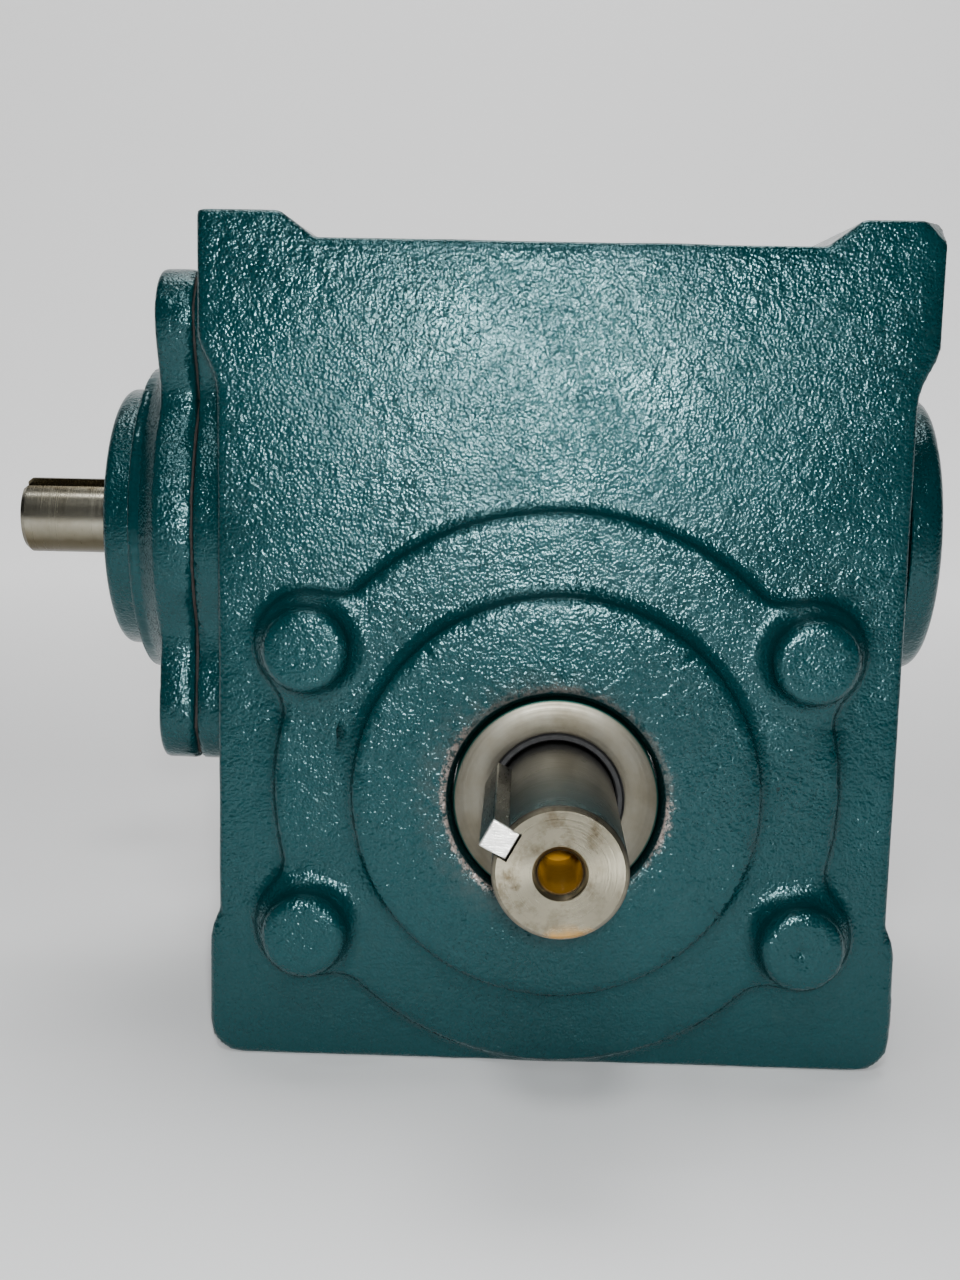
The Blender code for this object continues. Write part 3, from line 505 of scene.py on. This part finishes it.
for cx, cz in SPOTS:
    field = np.maximum(field, -np.maximum(circle(x, z, 4.3, cx, OUT_Z + cz), slab(y, 55, 80)))
rear = grid.mesh("rear_cover_casting", field, 0.02)
dress(rear, cast_enamel("enamel_rear"), "case", "rear_cover", slot="enamel")


# ------------------------------------------------------- turned covers, cap
def arc(cr, ch, r, a0, a1, n=6):
    return [(cr + r * math.cos(math.radians(a0 + (a1 - a0) * i / n)), ch + r * math.sin(math.radians(a0 + (a1 - a0) * i / n))) for i in range(n + 1)]


cover = turned("input_cover_casting", [(11.5, -117.8), (12.0, -118.3)] + arc(35.2 - 2.2, -116.1, 2.2, -90, 0) +
               [(35.2, -110.9), (34.9, -110.6), (25.9, -110.6), (25.9, -104.4), (17.3, -104.4), (17.3, -115.1), (11.5, -115.1)], "X", (0, 0, WORM_Z))
dress(cover, cast_enamel("enamel_cover", strength=0.9), "case", "input_cover", slot="enamel")
cap = turned("end_cap_casting", [(0, 87.5), (25.9, 87.5), (25.9, 89.3), (36.8, 89.3), (37.1, 89.6)] + arc(37.1 - 3.6, 94.2, 3.6, 0, 90) +
             [(20.0, 97.8), (0, 97.8)], "X", (0, 0, WORM_Z))
for k in range(4):
    a = math.radians(45 + 90 * k)
    tool = turned("tool", [(0, 87.0), (2.7, 87.0), (2.7, 91.9), (4.3, 91.9), (4.3, 99.0), (0, 99.0)], "X",
                  (0, 31.1 * math.cos(a), WORM_Z + 31.1 * math.sin(a)), 32)
    combine(cap, tool)
dress(cap, cast_enamel("enamel_cap", strength=0.9), "case", "end_cap", slot="enamel")

# ------------------------------------------------------------ output shaft
END = -129.6
shaft = turned("output_shaft_turned", [(0, END + 28.0), (3.6, END + 25.5), (4.62, END + 25.0), (4.62, END + 1.5), (5.65, END + 0.15), (5.85, END), (13.35, END), (14.2875, END + 1.05),
                                       (14.2875, -60.4), (14.9, -59.8), (14.9, -39.7), (19.5, -39.7), (19.5, -17.0), (17.0, -17.0), (17.0, 17.5),
                                       (14.9, 17.5), (14.9, 56.4), (14.1, 57.2), (0, 57.2)], "Y", (0, 0, OUT_Z), 144)
combine(shaft, key_shape("tool", 6.6, 10.9, 20.0, END - 2, -77.4, "Y", 151.9, (0, 0, OUT_Z)))
combine(shaft, key_shape("tool", 8.4, 13.1, 19.2, -15.4, 15.4, "Y", 90, (0, 0, OUT_Z)))
n, colour, rough, normal = turned_steel("steel_output_shaft", "Y", (0, OUT_Z), ((0.062, 0.062, 0.056), (0.040, 0.035, 0.026)), 0.30,
                                        0.000035, 0.75, marks=2600.0)
lathe_marks(n, "Y")
c = n.axes()
r = n.radius(c[0], c[2], 0.0, OUT_Z * MM)
# The end face is brighter than the oily sides, with brown mottling, and the countersink is coloured darker.
face = n.span(c[1], (END + 1.2) * MM, (END + 0.5) * MM)
mottle = n.math("MULTIPLY", n.span(n.noise(230.0, 5.0, 0.7), 0.46, 0.68), n.span(n.noise(70.0, 2.0), 0.35, 0.6, 0.25, 1.0))
end_colour = n.mix(mottle, (0.25, 0.230, 0.170), (0.085, 0.062, 0.032))
end_colour = n.mix(n.span(r, 0.0060, 0.0057), end_colour, (0.16, 0.135, 0.085))
colour = n.mix(face, colour, end_colour)
# Amber oil stands in the hole and along the lower edge of the end face.
inside = n.math("MULTIPLY", n.span(r, 0.0049, 0.0046), n.span(c[1], (END + 1.0) * MM, (END + 2.2) * MM, 0.35, 1.0))
low_edge = n.math("MULTIPLY", n.span(n.math("ADD", c[2], n.math("MULTIPLY", n.noise(180.0, 3.0), 0.008)), 0.0640, 0.0612), n.span(r, 0.0100, 0.0135))
low_edge = n.math("MULTIPLY", low_edge, face)
amber = n.math("MAXIMUM", inside, low_edge, clamp=True)
# In the hole the colour runs from dark brown at the top to amber at the bottom.
low_part = n.span(c[2], (OUT_Z + 1.5) * MM, (OUT_Z - 3.2) * MM)
oil = n.mix(low_part, (0.022, 0.015, 0.006), (0.34, 0.165, 0.010))
colour = n.mix(amber, colour, oil)
metal = n.math("SUBTRACT", 0.95, n.math("MULTIPLY", amber, 0.85))
rough = n.math("MULTIPLY", rough, n.span(amber, 0, 1, 1.0, 0.35))
dress(shaft, n.finish(Base_Color=colour, Metallic=metal, Roughness=rough, Normal=normal), "output", "output_shaft", slot="steel")
key = key_shape("output_key_bar", 6.35, 11.2, 17.55, END + 0.5, -77.8, "Y", 151.9, (0, 0, OUT_Z))
bevelled(key, 0.35, 2)
n = Nodes("steel_key")
c = n.axes()
saw = n.add("ShaderNodeMapping")
saw.inputs["Rotation"].default_value = (0, math.radians(20), 0)
saw.inputs["Scale"].default_value = (1.0, 1.0, 9.0)
n.put(saw.inputs["Vector"], n.where)
lines = n.noise(420.0, 3.0, 0.65, at=saw.outputs[0])
end_face = n.span(c[1], (END + 1.6) * MM, (END + 0.9) * MM)
colour = n.mix(end_face, n.mix(n.span(n.noise(90.0, 4.0), 0.4, 0.7), (0.16, 0.155, 0.14), (0.05, 0.045, 0.037)), (0.86, 0.85, 0.81))
dress(key, n.finish(Base_Color=colour, Metallic=1.0, Roughness=n.span(lines, 0.3, 0.7, 0.22, 0.42), Normal=n.bump(lines, 0.00012, 1.0)), "output", "output_key", slot="steel")

# --------------------------------------------------------------- oil seals
case = turned("seal_case_ring", [(16.6, -69.9), (17.2, -70.05), (24.0, -70.05), (24.6, -69.75), (24.8, -69.2), (24.8, -61.4), (23.7, -61.4), (23.7, -68.8), (16.6, -68.8)], "Y", (0, 0, OUT_Z), 144)
n, colour, rough, normal = turned_steel("steel_seal_case", "Y", (0, OUT_Z), ((0.165, 0.157, 0.128), (0.090, 0.075, 0.048)), 0.40, 0.00002, 0.8, marks=1500.0)
c = n.axes()
r = n.radius(c[0], c[2], 0.0, OUT_Z * MM)
colour = n.mix(n.span(r, 0.02415, 0.0245), colour, (0.006, 0.060, 0.050))
rough = n.math("ADD", rough, n.math("MULTIPLY", n.span(r, 0.02415, 0.0245), 0.1))
dress(case, n.finish(Base_Color=colour, Metallic=1.0, Roughness=rough, Normal=normal), "case", "output_seal_case", slot="steel")
lip = turned("seal_lip_ring", [(14.6, -69.3), (15.0, -69.75), (16.0, -69.75), (16.45, -69.3), (16.45, -68.5), (23.3, -68.5), (23.3, -66.6), (17.0, -66.6), (15.6, -62.4), (14.75, -62.9)], "Y", (0, 0, OUT_Z), 144)
RUBBER = plain("nitrile_rubber_lip", (0.004, 0.004, 0.0045), 0.0, 0.6, 500.0, 0.00004)
dress(lip, RUBBER, "case", "output_seal_lip", slot="rubber")
inner_seal = turned("input_seal_ring", [(10.6, -114.2), (12.0, -114.6), (17.0, -114.6), (17.0, -107.7), (15.8, -107.7), (15.8, -112.9), (12.3, -112.9), (11.2, -110.9)], "X", (0, 0, WORM_Z), 96)
dress(inner_seal, plain("nitrile_rubber_input", (0.010, 0.010, 0.011), 0.0, 0.4, 500.0, 0.00004), "case", "input_seal", slot="rubber")

# -------------------------------------------------------------- worm shaft
MODULE = 2.8
PITCH = math.pi * MODULE
WORM_R = CENTRE - 42.0
WORM_TIP, WORM_ROOT = WORM_R + MODULE - 0.3, WORM_R - 1.16 * MODULE


def worm_mesh(columns=96, turns=6):
    half = lambda radius: PITCH / 4 - (radius - WORM_R) * math.tan(math.radians(20)) - 0.45
    before = [(0.0, -147.5), (8.9, -147.5), (9.3, -147.35), (10.32, -146.1), (10.32, -106.9), (12.4, -106.3), (12.4, -88.3), (WORM_ROOT, -88.3)]
    after = [(WORM_ROOT, 69.7), (12.4, 69.7), (12.4, 85.6), (11.5, 86.5), (0.0, 86.5)]
    bm = bmesh.new()
    poles = [bm.verts.new((x0, 0, 0)) for _, x0 in (before[0], after[-1])]
    start = round((-PITCH * (turns + 1) / 2 - PITCH / 2) / PITCH) * PITCH
    all_columns = []
    for k in range(columns):
        share = k / columns
        a = 2 * math.pi * share
        place = lambda radius, x0: (x0, radius * math.sin(a), -radius * math.cos(a))
        one = {"b": [bm.verts.new(place(*p)) for p in before[1:]], "t": [], "a": [bm.verts.new(place(*p)) for p in after[:-1]]}
        for m in range(turns + 2):
            turn = m + share
            fade = max(0.0, min(1.0, (turn - 0.999) / 0.25, (turns + 1.001 - turn) / 0.25))
            tip = WORM_ROOT + (WORM_TIP - WORM_ROOT) * fade
            low = half(WORM_ROOT)
            high = half(WORM_TIP) * fade + low * 0.97 * (1 - fade)
            x0 = start + PITCH * turn
            one["t"] += [bm.verts.new(place(radius, x0 + d)) for radius, d in ((WORM_ROOT, -low), (tip, -high), (tip, high), (WORM_ROOT, low))]
        all_columns.append(one)
    for k, here in enumerate(all_columns):
        there = all_columns[(k + 1) % columns]
        for part in ("b", "a"):
            for i in range(len(here[part]) - 1):
                bm.faces.new((here[part][i], here[part][i + 1], there[part][i + 1], there[part][i]))
        bm.faces.new((poles[0], here["b"][0], there["b"][0]))
        bm.faces.new((poles[1], there["a"][-1], here["a"][-1]))
        mine, others = here["t"], there["t"]
        if k < columns - 1:
            for i in range(len(mine) - 1):
                bm.faces.new((mine[i], mine[i + 1], others[i + 1], others[i]))
            bm.faces.new((here["b"][-1], mine[0], others[0], there["b"][-1]))
            bm.faces.new((mine[-1], here["a"][0], there["a"][0], others[-1]))
        else:
            shifted = others[4:]
            for i in range(len(shifted) - 1):
                bm.faces.new((mine[i], mine[i + 1], shifted[i + 1], shifted[i]))
            bm.faces.new([here["b"][-1], mine[0], shifted[0]] + others[3::-1] + [there["b"][-1]])
            bm.faces.new([shifted[-1]] + mine[-5:] + [here["a"][0], there["a"][0]])
    bmesh.ops.translate(bm, vec=(0, 0, WORM_Z), verts=bm.verts)
    return bm


worm = solid("worm_shaft_turned", worm_mesh(), 25.0)
combine(worm, key_shape("tool", 4.8, 10.32 - 2.6, 14.0, -150, -123.0, "X", 180 - 68, (0, 0, WORM_Z)), angle=25.0)
n, colour, rough, normal = turned_steel("steel_worm", "X", (0, WORM_Z), ((0.50, 0.48, 0.39), (0.26, 0.215, 0.13)), 0.24, 0.00002, 0.7, marks=2600.0)
c = n.axes()
# Painted shade: dark brown in the keyway side at the top, and along the underside of the input end.
underside_painted_shade = n.span(n.math("ADD", c[2], n.math("MULTIPLY", n.noise(140.0, 3.0), 0.003)), WORM_Z * MM + 0.0005, WORM_Z * MM - 0.0050, 0.0, 0.85)
keyway_painted_shade = n.span(n.math("ADD", c[2], n.math("MULTIPLY", n.noise(300.0, 3.0), 0.002)), WORM_Z * MM + 0.0078, WORM_Z * MM + 0.0090, 0.0, 0.8)
end_part = n.span(c[0], -0.1050, -0.1070)
colour = n.mix(n.math("MULTIPLY", n.math("MAXIMUM", underside_painted_shade, keyway_painted_shade), end_part), colour, (0.060, 0.045, 0.018))
dress(worm, n.finish(Base_Color=colour, Metallic=1.0, Roughness=rough, Normal=normal), "worm", "worm_shaft", slot="steel")

# ------------------------------------------- fasteners: bolts, screws, plugs
ZINC = plain("zinc_plate", (0.42, 0.42, 0.39), 1.0, 0.33, 600.0, 0.00003)
PAINTED = cast_enamel("enamel_fastener", strength=0.25)
for k, (cx, cz) in enumerate(SPOTS, 1):
    head = solid("tool_hex", bar("hex", hexagon(13.0, cx, OUT_Z + cz), "Y", 70.3, 75.6))
    bolt = turned(f"rear_bolt_hex_{k}", [(0, 70.3), (7.6, 70.3), (7.6, 74.6), (6.2, 75.6), (0, 75.6)], "Y", (cx, 0, OUT_Z + cz), 48)
    combine(bolt, head, "INTERSECT")
    shank = turned("shank", [(0, 51.2), (3.8, 52.0), (3.8, 71.0), (0, 71.0)], "Y", (cx, 0, OUT_Z + cz), 32)
    combine(bolt, shank, "UNION")
    dress(bolt, PAINTED, "case", f"rear_bolt_{k}", slot="zinc")
for k, (cy, cz) in enumerate(FLANGE_SPOTS, 1):
    screw = turned(f"input_screw_socket_head_{k}", [(0, -102.9), (5.9, -102.9), (6.4, -102.4), (6.4, -96.9), (3.8, -96.9), (3.8, -80.2), (3.2, -79.6), (0, -79.6)], "X",
                   (0, cy, WORM_Z + cz), 40)
    combine(screw, solid("tool", bar("hex", hexagon(6.0, cy, WORM_Z + cz), "X", -104.5, -99.4)))
    dress(screw, PAINTED, "case", f"input_screw_{k}", slot="zinc")
for name, axis, (px, py, pz) in (("fill_plug", "Z", (0, 0, 203.4)), ("level_plug", "X", (83.5, 8.0, 66.0)), ("drain_plug", "X", (83.5, 0.0, 22.0))):
    plug = turned(name + "_turned", [(0, -9.0), (9.0, -9.0), (9.0, 0.5), (8.3, 1.2), (0, 1.2)], axis, (px, py, pz), 48)
    at = (px, py, pz)
    base = {"X": px, "Z": pz}[axis]
    hexa = hexagon(8.0, *({"X": (py, pz), "Z": (px, py)}[axis]))
    combine(plug, solid("tool", bar("hex", hexa, axis, base - 5.0, base + 2.0)))
    dress(plug, ZINC, "case", name, slot="zinc")

# ------------------------------------------ the carried-over CAD pieces' looks
LOOKS = {
    "steel": plain("steel_inner", (0.45, 0.43, 0.40), 1.0, 0.3),
    "bearing": plain("bearing_steel_ground", (0.60, 0.60, 0.60), 1.0, 0.16, 900.0, 0.00001, 0.1),
    "bronze": plain("gear_bronze_cut", (0.60, 0.36, 0.14), 1.0, 0.28, 500.0, 0.00002),
    "iron": plain("cast_iron_bare", (0.11, 0.11, 0.115), 0.85, 0.5, 500.0, 0.0001),
    "gasket": plain("gasket_brown", (0.016, 0.010, 0.008), 0.0, 0.8, 700.0, 0.0001),
    "zinc": ZINC,
    "cage": plain("cage_pressed", (0.50, 0.50, 0.47), 1.0, 0.3, 500.0, 0.00002),
}
WHICH = {
    "steel": ("worm_snap_ring", "bore_snap_ring", "wheel_key", "spacer_sleeve"),
    "bearing": ("worm_bearing_outer_left", "worm_bearing_outer_right", "worm_bearing_inner_left", "worm_bearing_inner_right",
                "output_cup_front", "output_cup_rear", "output_cone_front", "output_cone_rear"),
    "bronze": ("wheel_rim",),
    "iron": ("wheel_hub",),
    "gasket": ("rear_shim", "input_gasket"),
    "zinc": ("cap_screw_1", "cap_screw_2", "cap_screw_3", "cap_screw_4"),
    "cage": ("worm_bearing_balls_left", "worm_bearing_balls_right", "output_rollers_front", "output_rollers_rear"),
}
for look, names in WHICH.items():
    for name in names:
        node = bpy.data.objects[name]
        node.data.materials.clear()
        node.data.materials.append(LOOKS[look])

# ------------------------------------------------- floor, lights and camera
sweep = bmesh.new()
profile = [(-2.5, 0.0)] + [(0.9 + 0.5 * math.sin(math.radians(a)), 0.5 - 0.5 * math.cos(math.radians(a))) for a in range(0, 91, 10)] + [(1.4, 2.5)]
lines = [[sweep.verts.new((sx * 3.0, py, pz - 0.00005)) for py, pz in profile] for sx in (-1, 1)]
for i in range(len(profile) - 1):
    sweep.faces.new((lines[0][i], lines[1][i], lines[1][i + 1], lines[0][i + 1]))
mesh = bpy.data.meshes.new("backdrop")
sweep.to_mesh(mesh)
sweep.free()
mesh.shade_smooth()
backdrop = bpy.data.objects.new("backdrop", mesh)
bpy.context.scene.collection.objects.link(backdrop)
n = Nodes("backdrop_white")
far = n.span(n.axes()[1], 0.25, 0.95, 0.0, 0.42)
backdrop.data.materials.append(n.finish(Base_Color=(0.86, 0.86, 0.86), Roughness=0.8, Specular_IOR_Level=0.1, Emission_Color=(1.0, 1.0, 1.0), Emission_Strength=far))

YAW, PITCH_DOWN, ROLL = 0.0258, 0.1567, 0.0200
ahead = Vector((-math.sin(YAW) * math.cos(PITCH_DOWN), math.cos(YAW) * math.cos(PITCH_DOWN), -math.sin(PITCH_DOWN)))
side = Vector((math.cos(YAW), math.sin(YAW), 0.0))
over = side.cross(ahead)
side2 = math.cos(ROLL) * side + math.sin(ROLL) * over
over2 = -math.sin(ROLL) * side + math.cos(ROLL) * over
EYE = Vector((-9.135, -391.6 - 60.0, 99.05 + OUT_Z)) * MM
camera_data = bpy.data.cameras.new("camera")
camera_data.lens = 1626.7 / 1280 * 36
camera_data.sensor_width = 36
camera_data.clip_start = 0.01
camera = bpy.data.objects.new("camera", camera_data)
bpy.context.scene.collection.objects.link(camera)
camera.matrix_world = Matrix((
    (side2.x, over2.x, -ahead.x, EYE.x),
    (side2.y, over2.y, -ahead.y, EYE.y),
    (side2.z, over2.z, -ahead.z, EYE.z),
    (0, 0, 0, 1),
))
bpy.context.scene.camera = camera


def lamp(name, where, target, size, power, colour=(1, 1, 1)):
    data = bpy.data.lights.new(name, "AREA")
    data.shape, data.size, data.energy, data.color = "DISK", size, power, colour
    obj = bpy.data.objects.new(name, data)
    obj.location = where
    obj.rotation_euler = (Vector(target) - Vector(where)).to_track_quat("-Z", "Y").to_euler()
    bpy.context.scene.collection.objects.link(obj)


lamp("flash", EYE + Vector((0.008, -0.02, 0.020)), (0.0, 0.0, 0.12), 0.022, 2.0, (0.97, 0.99, 1.0))
lamp("overhead", (-0.05, -0.75, 0.85), (0.0, 0.0, 0.1), 0.16, 3.0, (0.97, 0.99, 1.0))
lamp("fill_left", (-1.2, -0.5, 0.6), (0.0, 0.0, 0.1), 0.9, 0.25)
lamp("backdrop_light", (0.0, 0.45, 1.9), (0.0, 1.2, 0.3), 1.2, 25.0)
lamp("top_left", (-0.34, -0.37, 1.05), (-0.06, 0.0, 0.13), 0.10, 0.5)
world = bpy.data.worlds.new("studio")
bpy.context.scene.world = world
world.use_nodes = True
world.node_tree.nodes["Background"].inputs[0].default_value = (1, 1, 1, 1)
world.node_tree.nodes["Background"].inputs[1].default_value = 0.012
